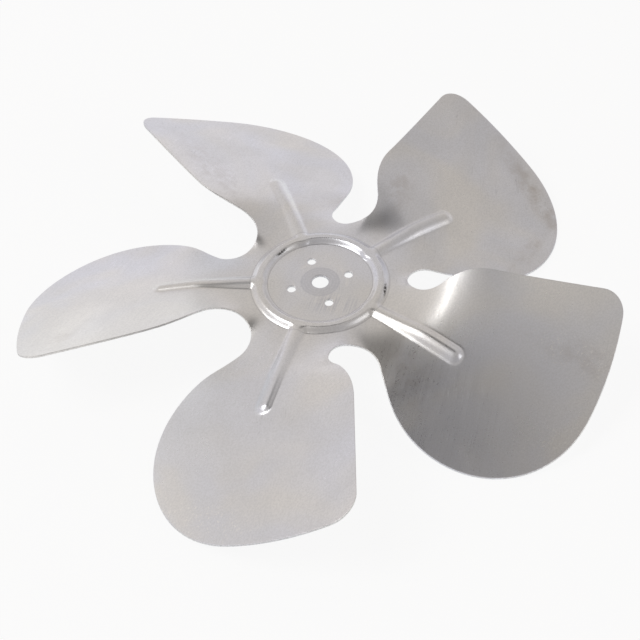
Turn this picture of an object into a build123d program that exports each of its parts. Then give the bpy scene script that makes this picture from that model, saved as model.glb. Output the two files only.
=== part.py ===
from build123d import *
import os
from math import acos, atan2, ceil, cos, degrees, exp, hypot, pi, radians, sin, sqrt, tan

# Axial fan impeller: one pressing of aluminium sheet with five pitched blades.
# Millimetres. The origin is the centre of the bore in the upper face of the hub disc,
# the shaft axis is Z, and the stiffening rib of the first blade lies over the X axis.

# sheet and overall size
BLADES = 5
SHEET = 1.2
TIP_RADIUS = 150.0

# hub: flat disc with a bore and a ring of screw holes
BORE_DIAMETER = 8.5
SCREW_CIRCLE = 30.0
SCREW_COUNT = 4
SCREW_HOLE = 4.3
SCREW_AZIMUTH = 72.0

# ring bead pressed up round the disc
DISC_RADIUS = 26.8
BEAD_HEIGHT = 2.2
BEAD_CREST_INNER = 29.3
BEAD_CREST_OUTER = 31.9
BEAD_FOOT = 34.8
BEAD_BEND = 0.8

# stiffening rib pressed up along every blade, running out from the ring bead
RIB_TIP = 84.5
RIB_WIDTH = 8.2
RIB_HEIGHT = 2.0

# flat pattern of a blade, radii and distances from the shaft axis
LEAD_RADIUS = 51.5
ROOT_AZIMUTH = 48.8923
TRAIL_AZIMUTH = 19.3
TRAIL_OFFSET = 15.6
TRAIL_CORNER = 11.5
TRAIL_SHOULDER = 38.0
NOTCH_CENTRE = 56.2
NOTCH_RADIUS = 12.3

# blade form: rise across the blade, camber, and the fall along the rib towards the tip
PITCH_RISE = 0.3475
PITCH_GAIN = 0.0005
PITCH_GAIN_FROM = 63.0
CAMBER = 0.00154
ROOT_CURL = 0.00103
ROOT_CURL_RADIUS = 69.7
ROOT_CURL_WIDTH = 16.0
TWIST_START = 30.9
TWIST_END = 67.8
FALL = 0.178
FALL_START = 58.5
FALL_EASE = 12.0
SADDLE_START = 24.0

# how closely the form is sampled: circles round the shaft, and points on each of them
FORM_RADII = (29, 32, 35, 38, 41, 44, 47, 50, 54, 58, 62, 67, 72, 78, 85, 93, 102)
FORM_RING = 10.0
FORM_STEPS = 40
FORM_SPAN = 60.0
SLOPE_STEP = 0.05
RIB_STATIONS = 9

# share of the sheet's thickness that the filled bead reaches down into the flange
BEAD_BURIED = 0.75

# half the height of the blocks that the sheet is cut from
REACH = 60.0

SECTOR = 360 / BLADES
HALF = SECTOR / 2
NOTCH_FLOOR = NOTCH_CENTRE - NOTCH_RADIUS
BEAD_CREST = (BEAD_CREST_INNER + BEAD_CREST_OUTER) / 2


def polar(radius, azimuth):
    """Return the plan point at a radius and an azimuth in degrees."""
    return Vector(radius * cos(radians(azimuth)), radius * sin(radians(azimuth)))


def azimuth_of(vector):
    return degrees(atan2(vector.Y, vector.X))


def ease(value):
    """Rise smoothly from 0 to 1 while value goes from 0 to 1."""
    value = min(max(value, 0.0), 1.0)
    return value * value * (3 - 2 * value)


def fall_at(x):
    """How far the sheet has dropped under the rib at a distance x from the shaft."""
    run = max(0.0, x - FALL_START)
    return FALL * run * run / (run + FALL_EASE)


def form_height(radius, azimuth):
    """Height of the sheet's upper face, without beads.

    Across a blade the height is a parabola in the distance from the rib. Inside the
    notches that distance folds back to nothing, so that neighbours meet in a saddle.
    """
    point = polar(radius, azimuth)
    near = (azimuth + HALF) % SECTOR - HALF
    fold = cos(pi / 2 * max(0.0, (abs(near) - SADDLE_START) / (HALF - SADDLE_START)))
    folded = radius * sin(radians(near)) * fold
    chord = folded + (point.Y - folded) * ease((radius - NOTCH_FLOOR) / NOTCH_RADIUS)
    twist = ease((radius - TWIST_START) / (TWIST_END - TWIST_START))
    curl = ROOT_CURL * exp(-(((radius - ROOT_CURL_RADIUS) / ROOT_CURL_WIDTH) ** 2))
    slope = twist * (PITCH_RISE + PITCH_GAIN * (point.X - PITCH_GAIN_FROM))
    curve = twist * (CAMBER + curl)
    return slope * chord + curve * chord**2 - fall_at(point.X)


def form_point(radius, azimuth, depth):
    """A point of the sheet at a depth below its upper face, measured square to the face."""
    point = polar(radius, azimuth)

    def height(x, y):
        return form_height(hypot(x, y), degrees(atan2(y, x)))

    rise_x = height(point.X + SLOPE_STEP, point.Y) - height(point.X - SLOPE_STEP, point.Y)
    rise_y = height(point.X, point.Y + SLOPE_STEP) - height(point.X, point.Y - SLOPE_STEP)
    normal = Vector(-rise_x, -rise_y, 2 * SLOPE_STEP).normalized()
    return point + Vector(0, 0, height(point.X, point.Y)) - normal * depth


def form_radii():
    """The close circles round the hub, and then even ones until they pass the blade tips."""
    more = ceil((TIP_RADIUS + SHEET - FORM_RADII[-1]) / FORM_RING)
    return [*FORM_RADII, *(FORM_RADII[-1] + FORM_RING * ring for ring in range(1, more + 1))]


def form_surface(depth):
    """Loft the form at a depth in the sheet, over one sector and a third of each neighbour.

    The points repeat from sector to sector, so that neighbours meet in the same curve.
    """
    steps = [step / FORM_STEPS for step in range(FORM_STEPS + 1)]
    sections = []
    for radius in form_radii():
        points = [form_point(radius, FORM_SPAN * (2 * step - 1), depth) for step in steps]
        sections.append(Wire([Edge.make_spline(points, parameters=steps)]))
    return Shell.make_loft(sections).faces()[0]


def arc(centre, radius, start, end):
    return CenterArc((centre.X, centre.Y, 0), radius, start, end - start)


def blade_plan():
    """One sector of the blank, from the middle of one notch to the middle of the next."""
    notch = polar(NOTCH_CENTRE, -HALF)
    next_notch = polar(NOTCH_CENTRE, HALF)

    # the straight root is tangent to the notch, and the leading arc to the root and the tip circle
    root_in = notch + polar(NOTCH_RADIUS, ROOT_AZIMUTH)
    lead_side = root_in.dot(polar(1, ROOT_AZIMUTH)) + LEAD_RADIUS
    lead_azimuth = ROOT_AZIMUTH - degrees(acos(lead_side / (TIP_RADIUS - LEAD_RADIUS)))
    lead = polar(TIP_RADIUS - LEAD_RADIUS, lead_azimuth)
    root_out = lead - polar(LEAD_RADIUS, ROOT_AZIMUTH)

    # straight trailing edge between its rounded corner and its shoulder
    trail = polar(1, TRAIL_AZIMUTH)
    across = polar(1, TRAIL_AZIMUTH + 90)
    corner_side = TRAIL_OFFSET - TRAIL_CORNER
    corner_along = sqrt((TIP_RADIUS - TRAIL_CORNER) ** 2 - corner_side**2)
    corner = across * corner_side + trail * corner_along
    shoulder_side = TRAIL_OFFSET - TRAIL_SHOULDER
    notch_gap = next_notch.dot(across) - shoulder_side
    shoulder_along = next_notch.dot(trail) + sqrt((TRAIL_SHOULDER + NOTCH_RADIUS) ** 2 - notch_gap**2)
    shoulder = across * shoulder_side + trail * shoulder_along
    shoulder_end = azimuth_of(next_notch - shoulder) % 360

    start = BEAD_FOOT - SHEET
    centre = Vector(0, 0)
    edges = [
        Line(polar(start, -HALF), polar(NOTCH_FLOOR, -HALF)),
        arc(notch, NOTCH_RADIUS, 180 - HALF, ROOT_AZIMUTH),
        Line(root_in, root_out),
        arc(lead, LEAD_RADIUS, ROOT_AZIMUTH + 180, lead_azimuth + 360),
        arc(centre, TIP_RADIUS, lead_azimuth, azimuth_of(corner)),
        arc(corner, TRAIL_CORNER, azimuth_of(corner), TRAIL_AZIMUTH + 90),
        Line(corner + across * TRAIL_CORNER, shoulder + across * TRAIL_SHOULDER),
        arc(shoulder, TRAIL_SHOULDER, TRAIL_AZIMUTH + 90, shoulder_end),
        arc(next_notch, NOTCH_RADIUS, shoulder_end - 180, HALF - 180),
        Line(polar(NOTCH_FLOOR, HALF), polar(start, HALF)),
        arc(centre, start, HALF, -HALF),
    ]
    return make_face(Wire(edges))


def split_under(block, surface):
    """The part of a block that lies under a surface."""
    return min(block.split(surface, keep=Keep.ALL), key=lambda piece: piece.center().Z)


def split_over(block, surface):
    """The part of a block that lies over a surface."""
    return max(block.split(surface, keep=Keep.ALL), key=lambda piece: piece.center().Z)


def rib_tube(radius, arch_radius):
    """A round bar under the rib's crest, with a ball at its outer end."""
    length = RIB_TIP - RIB_WIDTH / 2 - BEAD_CREST
    stations = [BEAD_CREST + length * station / (RIB_STATIONS - 1) for station in range(RIB_STATIONS)]
    points = [form_point(x, 0, arch_radius - RIB_HEIGHT) for x in stations]
    path = Edge.make_spline(points)
    section = Plane(origin=path @ 0, z_dir=path % 0) * Circle(radius)
    return sweep(section, path=path) + Pos(path @ 1) * Sphere(radius)


def under_bend(run):
    """How far a bend moves along the sheet between its two faces, for a wall of that run."""
    return SHEET * tan(atan2(BEAD_HEIGHT, run) / 2)


def hub_sector():
    """One sector of the disc with the ring bead filled in underneath."""
    buried = BEAD_BURIED * SHEET
    wall_run = BEAD_FOOT - BEAD_CREST_OUTER
    outline = Polyline(
        (BORE_DIAMETER / 2, 0),
        (DISC_RADIUS, 0),
        (BEAD_CREST_INNER, BEAD_HEIGHT),
        (BEAD_CREST_OUTER, BEAD_HEIGHT),
        (BEAD_FOOT + wall_run * buried / BEAD_HEIGHT, -buried),
        (BEAD_CREST, -buried),
        (BEAD_CREST, -SHEET),
        (BORE_DIAMETER / 2, -SHEET),
        close=True,
    )
    section = make_face(outline)
    bends = [corner for corner in section.vertices() if corner.Y >= 0 and corner.X > BORE_DIAMETER]
    section = Plane.XZ * fillet(bends, BEAD_BEND)
    return Rot(0, 0, -HALF) * revolve(section, Axis.Z, SECTOR)


def bead_hollow():
    """The ring-shaped hollow under the bead, open at the bottom."""
    inner = under_bend(BEAD_CREST_INNER - DISC_RADIUS)
    outer = under_bend(BEAD_FOOT - BEAD_CREST_OUTER)
    outline = Polyline(
        (DISC_RADIUS + inner, -RIB_WIDTH),
        (DISC_RADIUS + inner, -SHEET),
        (BEAD_CREST_INNER + inner, BEAD_HEIGHT - SHEET),
        (BEAD_CREST_OUTER - outer, BEAD_HEIGHT - SHEET),
        (BEAD_FOOT - outer, -SHEET),
        (BEAD_FOOT - outer, -RIB_WIDTH),
        close=True,
    )
    return revolve(Plane.XZ * make_face(outline), Axis.Z)


def blade_sheet(top):
    """One blade with its share of the flange: the blank between the sheet's two faces."""
    blank = extrude(blade_plan().moved(Pos(0, 0, -REACH)), amount=2 * REACH, dir=(0, 0, 1))
    return split_over(split_under(blank.solids()[0], top), form_surface(SHEET))


def sector():
    """One blade, its rib and its share of the hub."""
    top = form_surface(0)
    arch_radius = (RIB_WIDTH**2 / 4 + RIB_HEIGHT**2) / (2 * RIB_HEIGHT)
    start = BEAD_CREST - BEAD_BEND
    length = RIB_TIP + RIB_WIDTH - BEAD_CREST
    block = Pos(start + length / 2, 0) * Box(length, 2 * arch_radius + RIB_WIDTH, 2 * REACH)
    mid_sheet = top.moved(Pos(0, 0, -SHEET / 2))
    arch = rib_tube(arch_radius, arch_radius) - split_under(block.solids()[0], mid_sheet)
    solid = hub_sector().fuse(blade_sheet(top)).fuse(arch)
    return solid.cut(rib_tube(arch_radius - SHEET, arch_radius)).cut(bead_hollow())


def impeller():
    """All sectors joined, with the screw holes."""
    first = sector()
    body = first.fuse(*[Rot(0, 0, SECTOR * turn) * first for turn in range(1, BLADES)])
    holes = []
    for screw in range(SCREW_COUNT):
        centre = polar(SCREW_CIRCLE / 2, SCREW_AZIMUTH + 360 * screw / SCREW_COUNT)
        holes.append(Pos(centre.X, centre.Y) * Cylinder(SCREW_HOLE / 2, 4 * SHEET))
    return body.cut(*holes)


os.makedirs("parts", exist_ok=True)
export_step(impeller(), "parts/impeller.step")
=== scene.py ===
"""Axial fan impeller: one pressing of satin aluminium sheet with five pitched blades.

The blank's outline, the form of the blades and the pressed beads are worked out as arrays,
one row for each circle round the shaft and one column for each place across a blade.
Form sizes are millimetres in the formulas, and the finished mesh is in metres.
"""

import bmesh
import bpy
import numpy as np
from mathutils import Euler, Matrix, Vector


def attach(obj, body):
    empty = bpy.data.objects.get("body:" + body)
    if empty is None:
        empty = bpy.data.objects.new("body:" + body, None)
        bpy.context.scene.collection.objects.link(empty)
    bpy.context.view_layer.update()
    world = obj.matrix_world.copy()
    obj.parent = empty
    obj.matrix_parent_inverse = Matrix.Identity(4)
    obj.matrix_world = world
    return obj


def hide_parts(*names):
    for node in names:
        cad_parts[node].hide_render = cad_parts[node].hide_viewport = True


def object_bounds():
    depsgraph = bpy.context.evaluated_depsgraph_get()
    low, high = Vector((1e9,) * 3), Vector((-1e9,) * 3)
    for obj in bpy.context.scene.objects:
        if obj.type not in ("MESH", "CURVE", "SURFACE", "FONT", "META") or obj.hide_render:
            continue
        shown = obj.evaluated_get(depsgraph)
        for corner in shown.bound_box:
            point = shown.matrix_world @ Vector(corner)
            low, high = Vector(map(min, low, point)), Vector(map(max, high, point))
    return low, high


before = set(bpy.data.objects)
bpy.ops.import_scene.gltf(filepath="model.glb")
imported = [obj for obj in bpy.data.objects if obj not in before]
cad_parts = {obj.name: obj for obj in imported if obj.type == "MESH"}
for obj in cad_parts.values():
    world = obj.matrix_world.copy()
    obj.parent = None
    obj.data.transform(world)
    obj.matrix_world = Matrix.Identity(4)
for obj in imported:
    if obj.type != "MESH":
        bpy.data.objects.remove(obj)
CAD_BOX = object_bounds()

bl_info = {
    "name": "Axial Fan Impeller",
    "version": (1, 0, 0),
    "blender": (4, 5, 0),
    "location": "3D View > Sidebar > Impeller",
    "description": "Presses a five-blade sheet impeller and sets it in a small studio",
    "category": "Add Mesh",
}

MM = 0.001
BLADES = 5
SECTOR = 360 / BLADES
HALF = SECTOR / 2

# pressed hub: bore, ring of screw holes, and the bead's two walls as (foot, crest) radii
BORE_RADIUS = 4.25
SCREW_RADIUS = 2.15
SCREW_CIRCLE_RADIUS = 15.0
SCREW_AZIMUTH = 72.0
SCREWS = 4
BEAD_INNER_WALL = (26.4, 29.7)
BEAD_OUTER_WALL = (35.2, 31.5)
BEAD_CREST = 30.6
DISC_GRID_RADIUS = 22.0

# flat pattern of a blade
TIP_RADIUS = 150.0
LEAD_RADIUS = 51.5
ROOT_AZIMUTH = 48.8923
TRAIL_AZIMUTH = 19.3
TRAIL_OFFSET = 15.6
TRAIL_CORNER = 11.5
TRAIL_SHOULDER = 38.0
NOTCH_CENTRE = 56.2
NOTCH_RADIUS = 12.3

# blade form
PITCH_GAIN = 0.0005
PITCH_GAIN_FROM = 63.0
ROOT_CURL = 0.00103
ROOT_CURL_RADIUS = 69.7
ROOT_CURL_WIDTH = 16.0
TWIST_START = 30.9
TWIST_END = 67.8
FALL_START = 58.5
FALL_EASE = 12.0
SADDLE_START = 24.0

# rib, how softly its foot runs into the sheet, and over what width that foot dies out
RIB_TIP = 84.5
RIB_WIDTH = 8.2
RIB_FOOT_SOFT = 0.3
RIB_FOOT_FADE = RIB_WIDTH / 4

# the hollow under a bead is narrower than the bead, on each side, by this share of the sheet
HOLLOW_SHRINK = 0.36
# distance over which the slope of the form is taken
SLOPE_STEP = 0.05

# grid columns: on each side of the rib, and in the band over it with its half width near the
# hub and the shares of the blade where it lies past the rib's end
SIDE_COLUMNS = 20
BAND_COLUMNS = 16
COLUMNS = 2 * SIDE_COLUMNS + BAND_COLUMNS
BAND = 6.0
BAND_SHARES = (0.36, 0.64)

# where the columns pass from one rule to the next: the radius where it starts, and its run
PAST_RIB = (RIB_TIP + 4, 25)
CROWDED = (BEAD_OUTER_WALL[0], 8)
OFF_DISC = (DISC_GRID_RADIUS + 2, 6)

# grid rows of a blade: even ones, and close ones from before the rib's end to past it
EVEN_ROWS = 61
RIB_END_ROWS = 15
RIB_END_REACH = (8.0, 2.5)
ROW_CLEARANCE = 0.004

# circles of the disc: places along a side and round the bore, for each screw hole's patch
SIDE_STEPS = 16
BORE_STEPS = 24
PATCH_RINGS = 9
PATCH_CROWDING = 1.5

# points closer than this are one point
MERGE_DISTANCE = 0.002


def ease(value):
    """Rise smoothly from 0 to 1 while value goes from 0 to 1: 3 v squared less 2 v cubed."""
    value = np.clip(value, 0.0, 1.0)
    return value * value * (3 - 2 * value)


def passed(radius, start, run):
    """Share of a smooth passage that a radius has gone through."""
    return ease((radius - start) / run)


def polar(radius, azimuth):
    """Plan points, x and y, at a radius and an azimuth in degrees."""
    turn = np.radians(azimuth)
    return radius * np.cos(turn), radius * np.sin(turn)


def fall(x, drop):
    """Drop towards the tip: drop times the run squared, over the run plus its easing."""
    run = np.maximum(x - FALL_START, 0.0)
    return drop * run * run / (run + FALL_EASE)


def form(x, y, size):
    """Height of the sheet without beads.

    Across a blade it is pitch times the distance from the rib plus camber times that distance
    squared, both growing with the radius, less the fall. Inside the notches the distance folds
    back to nothing, so that neighbouring blades meet in a saddle.
    """
    radius = np.hypot(x, y)
    near = (np.degrees(np.arctan2(y, x)) + HALF) % SECTOR - HALF
    saddle = (np.abs(near) - SADDLE_START) / (HALF - SADDLE_START)
    fold = np.cos(np.pi / 2 * np.clip(saddle, 0, 1))
    folded = radius * np.sin(np.radians(near)) * fold
    chord = folded + (y - folded) * ease((radius - NOTCH_CENTRE + NOTCH_RADIUS) / NOTCH_RADIUS)
    twist = ease((radius - TWIST_START) / (TWIST_END - TWIST_START))
    curl = ROOT_CURL * np.exp(-(((radius - ROOT_CURL_RADIUS) / ROOT_CURL_WIDTH) ** 2))
    slope = twist * (size.pitch + PITCH_GAIN * (x - PITCH_GAIN_FROM))
    return slope * chord + twist * (size.camber + curl) * chord**2 - fall(x, size.fall)


def beads(x, y, size, shrink):
    """Height that the pressed beads add, for walls moved inwards by shrink.

    The ring is the product of two smooth steps in the radius. The rib is a parabola in the
    distance from its centre line, with its foot rounded off. The two join as a + b - ab, in
    shares of the ring's height.
    """
    radius = np.hypot(x, y)
    foot, crest = BEAD_INNER_WALL
    rise = ease((radius - foot - shrink) / (crest - foot))
    foot, crest = BEAD_OUTER_WALL
    ring = rise * ease((foot - shrink - radius) / (foot - crest))
    beyond = np.maximum(x - RIB_TIP + RIB_WIDTH / 2, 0.0) + np.maximum(BEAD_CREST - x, 0.0)
    away = np.hypot(beyond, y)
    arch = size.rib_height / MM * (1 - (away / (RIB_WIDTH / 2 - shrink)) ** 2)
    rib = (arch + np.hypot(arch, RIB_FOOT_SOFT)) / 2 * MM / size.bead_height
    rib = rib * ease((RIB_WIDTH - away) / RIB_FOOT_FADE)
    return size.bead_height / MM * (ring + rib - ring * rib)


def upper(x, y, size):
    """Height of the upper face: the form plus the beads."""
    return form(x, y, size) + beads(x, y, size, 0.0)


def lower(x, y, size):
    """Height of the lower face.

    It lies under the form by the sheet's thickness, measured square to the form: the thickness
    times the root of one plus the slope squared. The hollows under the beads are narrower than
    the beads by what a bend takes up.
    """
    step = SLOPE_STEP
    slope_x = (form(x + step, y, size) - form(x - step, y, size)) / (2 * step)
    slope_y = (form(x, y + step, size) - form(x, y - step, size)) / (2 * step)
    sheet = size.sheet / MM
    drop = sheet * np.sqrt(1 + slope_x**2 + slope_y**2)
    return form(x, y, size) - drop + beads(x, y, size, HOLLOW_SHRINK * sheet)


def circle_side(radius, centre_radius, centre_azimuth, circle_radius, side):
    """Azimuth where the circle round the shaft meets an outline arc, by the law of cosines."""
    cosine = (radius**2 + centre_radius**2 - circle_radius**2) / (2 * radius * centre_radius)
    return centre_azimuth + side * np.degrees(np.arccos(np.clip(cosine, -1, 1)))


def line_side(radius, distance, normal_azimuth, side):
    """Azimuth where the circle round the shaft meets a straight outline at a distance from it."""
    return normal_azimuth + side * np.degrees(np.arccos(np.clip(distance / radius, -1, 1)))


def blade_sides(radius, inset):
    """Azimuths of a blade's two sides at each radius, for an outline moved inwards by inset.

    The leading side is notch arc, straight root, leading arc. The trailing side is notch arc,
    shoulder arc, straight edge, corner arc. All are tangent to their neighbours.
    """
    notch = np.array(polar(NOTCH_CENTRE, -HALF))
    across_root = np.array(polar(1.0, ROOT_AZIMUTH))
    root_side = notch @ across_root + NOTCH_RADIUS
    lead_centre = TIP_RADIUS - LEAD_RADIUS
    lead_azimuth = ROOT_AZIMUTH - np.degrees(np.arccos((root_side + LEAD_RADIUS) / lead_centre))
    root_in = notch + across_root * (NOTCH_RADIUS + inset)
    root_out = np.array(polar(lead_centre, lead_azimuth)) - across_root * (LEAD_RADIUS - inset)
    leading = np.select(
        [radius < np.hypot(*root_in), radius < np.hypot(*root_out)],
        [
            circle_side(radius, NOTCH_CENTRE, -HALF, NOTCH_RADIUS + inset, 1),
            line_side(radius, root_side + inset, ROOT_AZIMUTH, -1),
        ],
        circle_side(radius, lead_centre, lead_azimuth, LEAD_RADIUS - inset, -1),
    )

    along = np.array(polar(1.0, TRAIL_AZIMUTH))
    across = np.array(polar(1.0, TRAIL_AZIMUTH + 90))
    next_notch = np.array(polar(NOTCH_CENTRE, HALF))
    corner_side = TRAIL_OFFSET - TRAIL_CORNER
    corner_along = np.sqrt((TIP_RADIUS - TRAIL_CORNER) ** 2 - corner_side**2)
    corner = across * corner_side + along * corner_along
    shoulder_side = TRAIL_OFFSET - TRAIL_SHOULDER
    gap = next_notch @ across - shoulder_side
    shoulder_along = next_notch @ along + np.sqrt((TRAIL_SHOULDER + NOTCH_RADIUS) ** 2 - gap**2)
    shoulder = across * shoulder_side + along * shoulder_along
    towards = (next_notch - shoulder) / np.hypot(*(next_notch - shoulder))
    meets = shoulder + towards * (TRAIL_SHOULDER - inset)
    shoulder_end = shoulder + across * (TRAIL_SHOULDER - inset)
    corner_start = corner + across * (TRAIL_CORNER - inset)
    shoulder_azimuth = np.degrees(np.arctan2(shoulder[1], shoulder[0]))
    corner_azimuth = np.degrees(np.arctan2(corner[1], corner[0]))
    trailing = np.select(
        [
            radius < np.hypot(*meets),
            radius < np.hypot(*shoulder_end),
            radius < np.hypot(*corner_start),
        ],
        [
            circle_side(radius, NOTCH_CENTRE, HALF, NOTCH_RADIUS + inset, -1),
            circle_side(radius, np.hypot(*shoulder), shoulder_azimuth, TRAIL_SHOULDER - inset, 1),
            line_side(radius, TRAIL_OFFSET - inset, TRAIL_AZIMUTH + 90, -1),
        ],
        circle_side(radius, np.hypot(*corner), corner_azimuth, TRAIL_CORNER - inset, 1),
    )
    return leading, trailing


def blade_radii(shares, inset):
    """Radii of a blade's rows: a cosine swing from the notch floor to the tip, dense at both."""
    low = NOTCH_CENTRE - NOTCH_RADIUS - inset
    high = TIP_RADIUS - inset
    return low + (high - low) * (1 - np.cos(np.pi * shares)) / 2


def row_shares():
    """Shares of the cosine swing, with closer rows round the rib's end."""
    low = NOTCH_CENTRE - NOTCH_RADIUS
    before, past = RIB_END_REACH
    ends = np.linspace(RIB_TIP - before, RIB_TIP + past, RIB_END_ROWS)
    close = np.arccos(1 - 2 * (ends - low) / (TIP_RADIUS - low)) / np.pi
    even = np.linspace(0, 1, EVEN_ROWS)
    even = even[(even < close[0] - ROW_CLEARANCE) | (even > close[-1] + ROW_CLEARANCE)]
    return np.sort(np.concatenate([even, close]))


def columns_at(radius, leading, trailing):
    """Azimuths of the columns: evenly over the rib, and crowding towards the blade's two sides.

    The rib's columns keep their distance from its centre line, and past its end they pass to
    fixed shares of the blade. Inside the ring bead all turn into an even spacing.
    """
    radius, leading, trailing = radius[:, None], leading[:, None], trailing[:, None]
    span = trailing - leading
    rib_side = np.degrees(np.arcsin(BAND / radius))
    past = passed(radius, *PAST_RIB)
    low = -rib_side + (leading + BAND_SHARES[0] * span + rib_side) * past
    high = rib_side + (leading + BAND_SHARES[1] * span - rib_side) * past
    share = np.linspace(0, 1, SIDE_COLUMNS + 1)[None, 1:]
    crowd = share + (np.sin(np.pi / 2 * share) - share) * passed(radius, *CROWDED)
    before = low + (leading - low) * crowd
    after = high + (trailing - high) * crowd
    over = low + (high - low) * np.linspace(0, 1, BAND_COLUMNS + 1)[None, :]
    columns = np.hstack([before[:, ::-1], over, after])
    even = leading + span * np.linspace(0, 1, COLUMNS + 1)[None, :]
    return even + (columns - even) * passed(radius, *OFF_DISC)


def grid_faces(rows, columns):
    """Corner numbers of the quads of a grid, anticlockwise for rows outwards and columns on."""
    index = np.arange(rows * columns).reshape(rows, columns)
    corners = [index[:-1, :-1], index[1:, :-1], index[1:, 1:], index[:-1, 1:]]
    return np.stack([corner.ravel() for corner in corners], axis=1)


class Shell:
    """Collects grids of points, with the mask of the sheet's cut edge, into one mesh."""

    def __init__(self):
        self.points, self.faces, self.cut, self.count = [], [], [], 0

    def add(self, x, y, z, flip=False, cut=0.0):
        quads = grid_faces(*x.shape) + self.count
        self.points.append(np.stack([x.ravel(), y.ravel(), z.ravel()], axis=1))
        self.faces.append(quads[:, ::-1] if flip else quads)
        self.cut.append(np.broadcast_to(cut, x.shape).ravel())
        self.count += x.size

    def mesh(self, name):
        points = np.concatenate(self.points) * MM
        mesh = bpy.data.meshes.new(name)
        mesh.from_pydata(points, [], np.concatenate(self.faces))
        mesh.attributes.new("cut_edge", "FLOAT", "POINT").data.foreach_set(
            "value", np.concatenate(self.cut).astype(np.float32)
        )
        seams = bmesh.new()
        seams.from_mesh(mesh)
        bmesh.ops.remove_doubles(seams, verts=seams.verts, dist=MERGE_DISTANCE * MM)
        open_edges = sum(not edge.is_manifold for edge in seams.edges)
        seams.to_mesh(mesh)
        seams.free()
        if open_edges:
            raise RuntimeError(f"{name} has {open_edges} open edges")
        mesh.shade_smooth()
        return mesh


def rounded_edge(size):
    """Rings down a cut edge with both corners rounded.

    Gives their insets, their depths, whether a depth counts from the upper face, and the mask.
    """
    edge = size.edge_round / MM
    near = edge * (1 - np.sqrt(0.5))
    insets = np.array([edge, near, 0, 0, near, edge])
    depths = np.array([0, near, edge, -edge, -near, 0])
    from_top = np.array([True, True, True, False, False, False])
    cut = np.array([0, 0.5, 1, 1, 0.5, 0])
    return insets, depths, from_top, cut


def wall(shell, outline, size, turns=(0,), flat=False):
    """Adds the cut edge along an outline, which gives a run of plan points for each inset.

    The first three rings lie below the upper face by their depths. The other three lie above
    the lower face, so their depths are negative.
    """
    insets, depths, from_top, cut = rounded_edge(size)
    rings = [outline(inset) for inset in insets]
    x = np.stack([ring[0] for ring in rings])
    y = np.stack([ring[1] for ring in rings])
    if flat:
        top, bottom = np.zeros_like(x), np.full_like(x, -size.sheet / MM)
    else:
        top, bottom = upper(x, y, size), lower(x, y, size)
    z = np.where(from_top[:, None], top, bottom) - depths[:, None]
    for turn in turns:
        shell.add(*turned(x, y, turn), z, cut=cut[:, None])


def turned(x, y, azimuth):
    """The same plan points after a turn about the shaft."""
    cos, sin = np.cos(np.radians(azimuth)), np.sin(np.radians(azimuth))
    return x * cos - y * sin, x * sin + y * cos


def flange_radii(end):
    """Radii of the rows from the disc's grid ring to the blades, dense on the bead's walls."""
    inner_foot, inner_crest = BEAD_INNER_WALL
    outer_foot, outer_crest = BEAD_OUTER_WALL
    # each band: its first radius, the radius it ends before, and its number of rows
    bands = (
        (DISC_GRID_RADIUS, inner_foot - 0.4, 3),
        (inner_foot - 0.4, inner_crest + 0.2, 13),
        (inner_crest + 0.2, outer_crest - 0.2, 3),
        (outer_crest - 0.2, outer_foot + 0.6, 14),
        (outer_foot + 0.6, end, 9),
    )
    return np.concatenate([np.linspace(*band, endpoint=False) for band in bands])


def press_blades(shell, size):
    """Adds the flange and the blades from the disc's grid ring out to the tips."""
    shares = row_shares()
    edge = size.edge_round / MM
    turns = SECTOR * np.arange(BLADES)
    blade = blade_radii(shares, edge)
    flange = flange_radii(blade[0])
    radius = np.concatenate([flange, blade])
    leading, trailing = blade_sides(blade, edge)
    leading = np.concatenate([np.full(flange.size, -HALF), leading])
    trailing = np.concatenate([np.full(flange.size, HALF), trailing])
    x, y = polar(radius[:, None], columns_at(radius, leading, trailing))
    top, bottom = upper(x, y, size), lower(x, y, size)
    for turn in turns:
        plan = turned(x, y, turn)
        shell.add(*plan, top)
        shell.add(*plan, bottom, flip=True)

    def outline(inset):
        rows = blade_radii(shares, inset)
        lead, trail = blade_sides(rows, inset)
        tip = columns_at(blade[-1:], lead[-1:], trail[-1:])[0]
        azimuth = np.concatenate([lead, tip[1:-1], trail[::-1]])
        return polar(np.concatenate([rows, np.full(tip.size - 2, rows[-1]), rows[::-1]]), azimuth)

    wall(shell, outline, size, turns)


def press_patch(shell, size, start, end):
    """Adds the disc's patch round one screw hole, between two azimuths, and the hole's wall.

    The patch runs straight from its hole's circle to its border, which is an arc of the
    flange's first ring, a radial side, an arc of the bore and the other radial side.
    """
    edge = size.edge_round / MM
    outer_steps = BLADES * COLUMNS // SCREWS
    sides = np.linspace(DISC_GRID_RADIUS, BORE_RADIUS + edge, SIDE_STEPS + 1)
    radius = np.concatenate(
        [
            np.full(outer_steps, DISC_GRID_RADIUS),
            sides[:-1],
            np.full(BORE_STEPS, sides[-1]),
            sides[::-1],
        ]
    )
    azimuth = np.concatenate(
        [
            np.linspace(start, end, outer_steps, endpoint=False),
            np.full(SIDE_STEPS, end),
            np.linspace(end, start, BORE_STEPS, endpoint=False),
            np.full(SIDE_STEPS + 1, start),
        ]
    )
    border_x, border_y = polar(radius, azimuth)
    centre_x, centre_y = polar(SCREW_CIRCLE_RADIUS, (start + end) / 2)
    angle = np.degrees(np.arctan2(border_y - centre_y, border_x - centre_x))

    def hole(inset):
        ring_x, ring_y = polar(SCREW_RADIUS + inset, angle[::-1])
        return centre_x + ring_x, centre_y + ring_y

    hole_x, hole_y = (ring[::-1] for ring in hole(edge))
    spread = np.linspace(0, 1, PATCH_RINGS)[:, None] ** PATCH_CROWDING
    x = hole_x + (border_x - hole_x) * spread
    y = hole_y + (border_y - hole_y) * spread
    shell.add(x, y, np.zeros_like(x))
    shell.add(x, y, np.full_like(x, -size.sheet / MM), flip=True)
    wall(shell, hole, size, flat=True)


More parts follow.
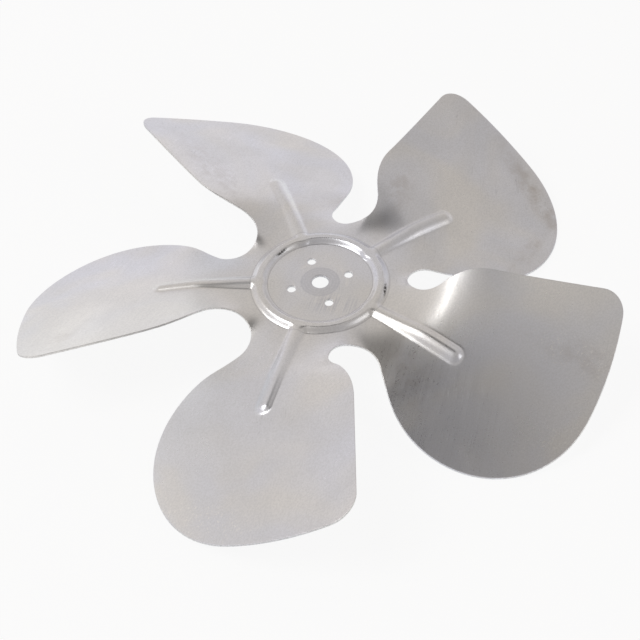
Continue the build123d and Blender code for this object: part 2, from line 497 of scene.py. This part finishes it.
def press_disc(shell, size):
    """Adds the flat disc: one patch for each screw hole, and the wall of the bore."""
    swing = 360 / SCREWS
    first = SCREW_AZIMUTH - swing / 2
    for screw in range(SCREWS):
        press_patch(shell, size, first + swing * screw, first + swing * (screw + 1))

    def bore(inset):
        return polar(BORE_RADIUS + inset, first + np.linspace(360, 0, SCREWS * BORE_STEPS + 1))

    wall(shell, bore, size, flat=True)


# stretch of a place along the shaft that makes height count for nothing
FLAT = 1000


class Wire:
    """A socket whose values combine as numbers do, each operator adding a Math node."""

    def __init__(self, nodes, socket):
        self.nodes, self.socket = nodes, socket

    def maths(self, operation, other=None, clamp=False):
        settings = {"operation": operation, "use_clamp": clamp}
        return self.nodes.node("ShaderNodeMath", settings, self, other)

    def __add__(self, other):
        return self.maths("ADD", other)

    def __sub__(self, other):
        return self.maths("SUBTRACT", other)

    def __mul__(self, other):
        return self.maths("MULTIPLY", other)

    def __abs__(self):
        return self.maths("ABSOLUTE")

    __radd__ = __add__
    __rmul__ = __mul__

    def step(self, low, high):
        """0 at low and 1 at high, whichever is the greater, with a smooth passage."""
        settings = {"interpolation_type": "SMOOTHSTEP"}
        return self.nodes.node("ShaderNodeMapRange", settings, self, low, high, 0.0, 1.0)

    def near(self, value, far, close):
        """1 within close of a value, and 0 further from it than far."""
        return abs(self - value).step(far, close)

    def limited(self):
        """The same value, kept between 0 and 1."""
        return self.maths("ADD", 0.0, clamp=True)


class Nodes:
    """Builds one tree's nodes, each from its type, its settings and its inputs.

    Inputs are given in order, by name, or by number in sockets.
    """

    def __init__(self, tree):
        self.tree = tree

    def node(self, kind, settings, *values, output=0, sockets=None, **named):
        made = self.tree.nodes.new(kind)
        for name, value in settings.items():
            setattr(made, name, value)
        for key, value in [*enumerate(values), *named.items(), *(sockets or {}).items()]:
            self.link(value, made.inputs[key])
        return Wire(self, made.outputs[output])

    def link(self, value, socket):
        """Leads a wire to a socket, or sets the socket to a plain value."""
        if isinstance(value, Wire):
            self.tree.links.new(value.socket, socket)
        elif value is not None:
            socket.default_value = value

    def place(self):
        """Object coordinates in millimetres."""
        coordinate = self.node("ShaderNodeTexCoord", {}, output="Object")
        return self.node("ShaderNodeVectorMath", {"operation": "SCALE"}, coordinate, Scale=1 / MM)

    def mapped(self, place, shift=(0, 0, 0), turn=0.0, scale=(1, 1, 1)):
        """Places in a frame that is shifted, turned in degrees about the shaft, and scaled."""
        settings = {"vector_type": "TEXTURE"}
        turn = (0, 0, np.radians(turn))
        return self.node("ShaderNodeMapping", settings, place, shift, turn, scale)

    def noise(self, place, scale=1.0, detail=2.0, roughness=0.5, distortion=0.0):
        """Noise with features of about one over scale."""
        named = {"Scale": scale, "Detail": detail, "Roughness": roughness}
        return self.node("ShaderNodeTexNoise", {}, Vector=place, Distortion=distortion, **named)

    def length(self, place):
        return self.node("ShaderNodeVectorMath", {"operation": "LENGTH"}, place, output="Value")

    def patch(self, place, middle, turn, reach):
        """1 in the middle of an oval patch, seen from above, and 0 outside it."""
        flat = self.mapped(place, (*middle, 0), turn, (*reach, FLAT))
        return self.length(flat).step(1.0, 0.25)

    def mix(self, share, first, second):
        """Second over first, as colours, by a share."""
        settings = {"data_type": "RGBA", "clamp_factor": True}
        first, second = (
            value if isinstance(value, Wire) else (*value, 1) for value in (first, second)
        )
        sockets = {0: share, 6: first, 7: second}
        return self.node("ShaderNodeMix", settings, output=2, sockets=sockets)


class Finish(Nodes):
    """The nodes of one material round its main shader."""

    def __init__(self, name):
        self.material = bpy.data.materials.new(name)
        self.material.use_nodes = True
        super().__init__(self.material.node_tree)
        self.surface = self.tree.nodes["Principled BSDF"]

    def feed(self, name, value):
        self.link(value, self.surface.inputs[name])


# stains seen from above, and among the smudges one painted dark reflection: middle in
# millimetres, turn in degrees, half lengths, and strength
SMUDGES_AND_PAINTED_REFLECTION = (
    ((-3, 95), 88, (46, 13), 0.3),
    ((68, 23), 35, (20, 9), 0.33),
    ((1, -70), 84, (24, 14), 0.33),
    # painted dark reflection of the dim ceiling, on the leading side of the blade at -72 degrees
    ((-125, 36), 20, (18, 7), 0.21),
)
EDGE_STAINS = (
    ((139, -8), 84, (48, 9), 0.525),
    ((108, -36), 22, (30, 6), 0.385),
    ((74, -124), 118, (52, 10), 0.28),
)
WIPED_PATCH = ((-4, -16), -38, (20, 9))
SPECKLED_RIMS = (
    ((74, -124), 118, (50, 12)),
    ((40, -140), 150, (34, 12)),
    ((-118, -72), 118, (52, 13)),
)
PRESS_MARKS = (
    ((-4.6, 27.9), 12, (5.5, 0.9)),
    ((22.2, -24.8), 48, (6.0, 1.0)),
)

# casts of the bare metal, tones of what lies on it, and tones of painted shade and of a painted
# dark reflection
COOL_CAST = (0.96, 0.97, 1.03)
WARM_CAST = (1.02, 0.995, 0.96)
WIPED_CAST = (1, 0.97, 0.92)
SMUDGE_AND_REFLECTION_TONE = (0.50, 0.455, 0.42)
EDGE_STAIN_TONE = (0.44, 0.39, 0.34)
WASHER_TONE = (0.47, 0.48, 0.54)
WIPED_TONE = (0.47, 0.48, 0.55)
FOOT_SHADE_TONE = (0.30, 0.30, 0.32)
FLECK_TONE = (0.92, 0.90, 0.87)
PRESS_MARK_TONE = (0.05, 0.045, 0.04)

# radii of the washer mark's rim and of the wiped arc, and turning lines by their angular rate
WASHER_RIM = (10.4, 9.6)
WIPED_ARC_RADIUS = 13.6
TURNING_RATE = 4.2


def satin_aluminium(finish):
    """Mill-finish aluminium: satin grain, soft clouding, rubbed stains and a few scratches,
    painted shade at the bead's feet and a painted dark reflection on one blade.
    """
    made = Finish("satin_aluminium")
    place = made.place()
    metal = np.array(finish.metal)
    above = made.node("ShaderNodeSeparateXYZ", {}, place, output="Z")
    from_shaft = made.length(made.mapped(place, scale=(1, 1, FLAT)))

    # rolling grain along one direction, even satin grain, slow clouding and two finer mottles
    streak = made.noise(made.mapped(place, turn=38, scale=(22, 0.7, 22)), detail=4)
    satin = made.noise(place, scale=1.1, detail=3, roughness=0.7)
    cloud = made.noise(place, scale=0.024, detail=3, distortion=0.5)
    mottle = made.noise(place, scale=0.14, detail=5, roughness=0.65)
    blotch = made.noise(place, scale=0.3, detail=4, roughness=0.6)

    # handling scratches: thin level lines of a stretched noise, kept only here and there
    line = made.noise(made.mapped(place, turn=52, scale=(34, 2.4, 34)), detail=1)
    sparse = made.noise(place, scale=0.045, detail=2).step(0.56, 0.64)
    scratch = line.near(0.5, 0.005, 0.001) * sparse

    # washer mark with turning lines, a wiped arc outside it, the bead's feet for painted shade
    # lines, and its crest
    washer = from_shaft.step(*WASHER_RIM) * (0.55 + blotch * 0.6)
    turning = (from_shaft * TURNING_RATE).maths("SINE") * 0.5 + 0.5
    arc = from_shaft.near(WIPED_ARC_RADIUS, 1.5, 0.2) * mottle.step(0.4, 0.62)
    inner_foot = from_shaft.near(BEAD_INNER_WALL[0] + 0.1, 0.42, 0.05)
    outer_foot = from_shaft.near(BEAD_OUTER_WALL[0] - 0.1, 0.5, 0.05)
    crest = from_shaft.near(BEAD_CREST, 1.8, 0.6) * mottle.step(0.35, 0.6)

    tone = made.noise(place, scale=0.017, detail=2, distortion=0.8).step(0.34, 0.66)
    colour = made.mix(tone, metal * COOL_CAST, metal * WARM_CAST)
    colour = made.mix(cloud.step(0.36, 0.64) * 0.24, colour, 0.72 * metal)
    colour = made.mix(streak.step(0.3, 0.7) * 0.07, colour, 0.6 * metal)
    colour = made.mix(satin.step(0.38, 0.62) * 0.26, colour, 0.62 * metal)
    # smudges; the third is a painted dark reflection on a blade's leading side
    for *patch, strength in SMUDGES_AND_PAINTED_REFLECTION:
        share = made.patch(place, *patch) * mottle.step(0.36, 0.66) * strength
        colour = made.mix(share, colour, SMUDGE_AND_REFLECTION_TONE)
    for *patch, strength in EDGE_STAINS:
        share = made.patch(place, *patch) * mottle.step(0.28, 0.74) * strength
        colour = made.mix(share, colour, EDGE_STAIN_TONE)
    colour = made.mix(washer * (0.3 + turning * 0.12), colour, WASHER_TONE)
    colour = made.mix(arc * 0.3, colour, np.minimum(1.12 * metal, 0.95) * WIPED_CAST)
    wiped = made.patch(place, *WIPED_PATCH) * streak.step(0.42, 0.6) * 0.35
    colour = made.mix(wiped, colour, WIPED_TONE)
    # painted shade: dark lines along the creases at the bead's feet
    colour = made.mix((inner_foot + outer_foot * 0.7).limited() * 0.38, colour, FOOT_SHADE_TONE)
    colour = made.mix(scratch * 0.4, colour, 0.5 * metal)

    # white flecks along some rims, and short dark press marks on the upper face by the bead
    fleck = made.noise(place, scale=0.75, detail=2, roughness=0.7).step(0.60, 0.65) * 0.6
    for patch in SPECKLED_RIMS:
        colour = made.mix(made.patch(place, *patch) * fleck, colour, FLECK_TONE)
    dark = satin.step(0.38, 0.5) * above.step(-0.6, -0.2) * 0.95
    for patch in PRESS_MARKS:
        colour = made.mix(made.patch(place, *patch) * dark, colour, PRESS_MARK_TONE)

    # the sheared edge, dull where the sheet tore
    cut = made.node("ShaderNodeAttribute", {"attribute_name": "cut_edge"}, output="Fac")
    tear = made.noise(place, scale=1.6, detail=2).step(0.42, 0.6)
    made.feed("Base Color", made.mix(cut * tear * 0.5, colour, 0.45 * metal))

    rough = finish.roughness + (cloud - 0.5) * 0.10 + (satin - 0.5) * 0.16
    rough = rough + (streak - 0.5) * 0.08 + washer * 0.06 - crest * 0.05 + cut * 0.12
    made.feed("Roughness", rough.limited())
    made.feed("Metallic", 1.0)

    height = satin * 0.011 + streak * 0.006 + mottle * 0.02 - scratch * 0.012
    named = {"Strength": 0.6, "Distance": MM, "Height": height}
    made.feed("Normal", made.node("ShaderNodeBump", {}, output="Normal", **named))
    return made.material


class ImpellerSizes(bpy.types.PropertyGroup):
    """Sizes of the pressing that a user would change."""

    sheet: bpy.props.FloatProperty(
        name="Sheet", description="Thickness of the sheet", default=1.2 * MM, unit="LENGTH"
    )
    pitch: bpy.props.FloatProperty(
        name="Pitch", description="Rise across a blade, per unit of width", default=0.3475
    )
    camber: bpy.props.FloatProperty(
        name="Camber",
        description="Curve across a blade, per millimetre",
        default=0.00154,
        precision=5,
    )
    fall: bpy.props.FloatProperty(
        name="Fall", description="Slope of a blade down towards its tip", default=0.178
    )
    bead_height: bpy.props.FloatProperty(
        name="Ring bead", description="Height of the ring bead", default=2.2 * MM, unit="LENGTH"
    )
    rib_height: bpy.props.FloatProperty(
        name="Rib", description="Height of the ribs", default=2.0 * MM, unit="LENGTH"
    )
    edge_round: bpy.props.FloatProperty(
        name="Edge", description="Rounding of the cut edges", default=0.22 * MM, unit="LENGTH"
    )


class AluminiumFinish(bpy.types.PropertyGroup):
    """Colour and gloss of the metal."""

    metal: bpy.props.FloatVectorProperty(
        name="Metal",
        description="Colour of the aluminium",
        subtype="COLOR",
        default=(0.84, 0.84, 0.84),
    )
    roughness: bpy.props.FloatProperty(
        name="Roughness",
        description="Roughness of the satin face",
        default=0.31,
        subtype="FACTOR",
    )


class StudioSettings(bpy.types.PropertyGroup):
    """Backdrop and light of the studio."""

    backdrop: bpy.props.FloatVectorProperty(
        name="Backdrop",
        description="Colour of the floor",
        subtype="COLOR",
        default=(0.93, 0.93, 0.93),
    )
    key: bpy.props.FloatProperty(
        name="Key light", description="Power of the soft key lamp", default=4.8, unit="POWER"
    )
    lens: bpy.props.FloatProperty(
        name="Lens", description="Focal length of the camera", default=68.61, unit="CAMERA"
    )


class IMPELLER_OT_press(bpy.types.Operator):
    """Presses the impeller from one sheet and gives it its satin finish"""

    bl_idname = "impeller.press"
    bl_label = "Press Impeller"

    def execute(self, context):
        size = context.scene.impeller_sizes
        shell = Shell()
        press_blades(shell, size)
        press_disc(shell, size)
        piece = bpy.data.objects.new("pressed_impeller", shell.mesh("pressed_impeller"))
        context.collection.objects.link(piece)
        piece.data.materials.append(satin_aluminium(context.scene.impeller_finish))
        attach(piece, "root")
        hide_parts("impeller")
        return {"FINISHED"}


class IMPELLER_OT_studio(bpy.types.Operator):
    """Lays the pale floor, hangs the soft lights and sets up the camera"""

    bl_idname = "impeller.studio"
    bl_label = "Set Up Studio"

    def execute(self, context):
        settings = context.scene.impeller_studio
        lay_floor(context, settings, CAD_BOX[0][2])
        hang_lights(context, settings)
        light_world(context)
        aim_camera(context, settings)
        context.scene.view_settings.view_transform = "Standard"
        return {"FINISHED"}


# studio: the floor's half side, how much of its own white it shows, and how far the lamps hang
FLOOR_REACH = 3.0
FLOOR_WHITE = 0.88
LAMP_DISTANCE = 1.6


def lay_floor(context, settings, height):
    """A plain square floor at the impeller's lowest point.

    It glows towards the camera and in reflections, and stays matt for the shadow and the rest.
    """
    side = np.array([-FLOOR_REACH, FLOOR_REACH])
    x, y = np.meshgrid(side, side, indexing="ij")
    mesh = bpy.data.meshes.new("floor")
    points = np.stack([x.ravel(), y.ravel(), np.full(4, height)], axis=1)
    mesh.from_pydata(points, [], grid_faces(2, 2))
    floor = bpy.data.objects.new("floor", mesh)
    context.collection.objects.link(floor)
    paint = Finish("pale_floor")
    paint.feed("Base Color", (*settings.backdrop, 1))
    paint.feed("Roughness", 0.9)
    paint.feed("Specular IOR Level", 0.1)
    rays = [
        paint.node("ShaderNodeLightPath", {}, output=f"Is {kind} Ray")
        for kind in ("Camera", "Glossy", "Transmission")
    ]
    glow = paint.node("ShaderNodeEmission", {}, (1, 1, 1, 1), 1.0)
    share = (rays[0] + rays[1] + rays[2]).limited() * FLOOR_WHITE
    matt = Wire(paint, paint.surface.outputs[0])
    shown = paint.node("ShaderNodeMixShader", {}, share, matt, glow)
    paint.tree.links.new(shown.socket, paint.tree.nodes["Material Output"].inputs["Surface"])
    mesh.materials.append(paint.material)


def hang_lights(context, settings):
    """A broad soft key at the view's left, a small lamp above it, and a fill low at the right.

    Each lamp has an azimuth, an elevation, a width and a power.
    """
    lamps = (
        ("key", 155, 50, 0.8, settings.key),
        ("top", 141, 69, 0.28, 0.15 * settings.key),
        ("fill", -60, 25, 0.9, 0.5 * settings.key),
    )
    for name, azimuth, elevation, width, power in lamps:
        light = bpy.data.lights.new(name, "AREA")
        light.shape, light.size, light.energy = "DISK", width, power
        lamp = bpy.data.objects.new(name, light)
        lamp.location = LAMP_DISTANCE * aim(azimuth, elevation)
        lamp.rotation_euler = lamp.location.to_track_quat("Z", "Y").to_euler()
        context.collection.objects.link(lamp)


def aim(azimuth, elevation):
    """Unit vector towards an azimuth and an elevation in degrees."""
    flat, rise = np.cos(np.radians(elevation)), np.sin(np.radians(elevation))
    return Vector((*polar(flat, azimuth), rise))


def light_world(context):
    """A dome with a dim spot near the zenith and paler light towards the horizon.

    Its light rises in two steps with the angle from the spot's middle, and is a little stronger
    towards the back. The steps' ends are cosines of that angle. The camera sees plain white.
    """
    world = bpy.data.worlds.new("dome")
    world.use_nodes = True
    dome = Nodes(world.node_tree)
    towards = dome.node("ShaderNodeTexCoord", {}, output="Object")

    def along(azimuth, elevation):
        settings = {"operation": "DOT_PRODUCT"}
        return dome.node(
            "ShaderNodeVectorMath", settings, towards, aim(azimuth, elevation), output="Value"
        )

    warm, cool = (1.0, 0.955, 0.92), (0.99, 0.965, 1.0)
    ceiling = along(70, 83)
    level = 0.02 + 0.48 * ceiling.step(0.993, 0.945) + 0.14 * ceiling.step(0.62, 0.2)
    level = level * (1.0 + along(80, 20) * 0.4)
    tint = dome.mix(ceiling.step(0.7, 0.2), warm, cool)
    camera = dome.node("ShaderNodeLightPath", {}, output="Is Camera Ray")
    colour = dome.mix(camera, tint, (1, 1, 1))
    background = world.node_tree.nodes["Background"]
    dome.link(colour, background.inputs["Color"])
    dome.link(level.maths("MAXIMUM", camera), background.inputs["Strength"])
    context.scene.world = world


def aim_camera(context, settings):
    """A camera at the front left, looking down at the hub.

    Its turn is its tilt up from straight down, its roll and its heading, in degrees.
    """
    camera = bpy.data.cameras.new("camera")
    camera.lens, camera.sensor_width = settings.lens, 36.0
    camera.shift_x, camera.shift_y = -0.0812, 0.0028
    camera.clip_start = 0.01
    view = bpy.data.objects.new("camera", camera)
    view.location = (-0.223766, -0.358272, 0.446447)
    view.rotation_euler = Euler(np.radians((41.4125, 0.9126, -36.4928)))
    context.collection.objects.link(view)
    context.scene.camera = view


class IMPELLER_PT_panel(bpy.types.Panel):
    """Sizes, finish and studio, with a button for each step"""

    bl_idname = "IMPELLER_PT_panel"
    bl_label = "Axial Fan Impeller"
    bl_space_type = "VIEW_3D"
    bl_region_type = "UI"
    bl_category = "Impeller"

    def draw(self, context):
        for name, operator in (
            ("impeller_sizes", None),
            ("impeller_finish", IMPELLER_OT_press.bl_idname),
            ("impeller_studio", IMPELLER_OT_studio.bl_idname),
        ):
            box = self.layout.box()
            group = getattr(context.scene, name)
            for setting in group.bl_rna.properties:
                if setting.identifier not in ("rna_type", "name"):
                    box.prop(group, setting.identifier)
            if operator:
                box.operator(operator)


GROUPS = {
    "impeller_sizes": ImpellerSizes,
    "impeller_finish": AluminiumFinish,
    "impeller_studio": StudioSettings,
}
CLASSES = (*GROUPS.values(), IMPELLER_OT_press, IMPELLER_OT_studio, IMPELLER_PT_panel)


def register():
    for cls in CLASSES:
        bpy.utils.register_class(cls)
    for name, group in GROUPS.items():
        setattr(bpy.types.Scene, name, bpy.props.PointerProperty(type=group))


def unregister():
    for name in GROUPS:
        delattr(bpy.types.Scene, name)
    for cls in reversed(CLASSES):
        bpy.utils.unregister_class(cls)


def main():
    register()
    bpy.ops.impeller.press()
    bpy.ops.impeller.studio()


if __name__ == "__main__":
    main()
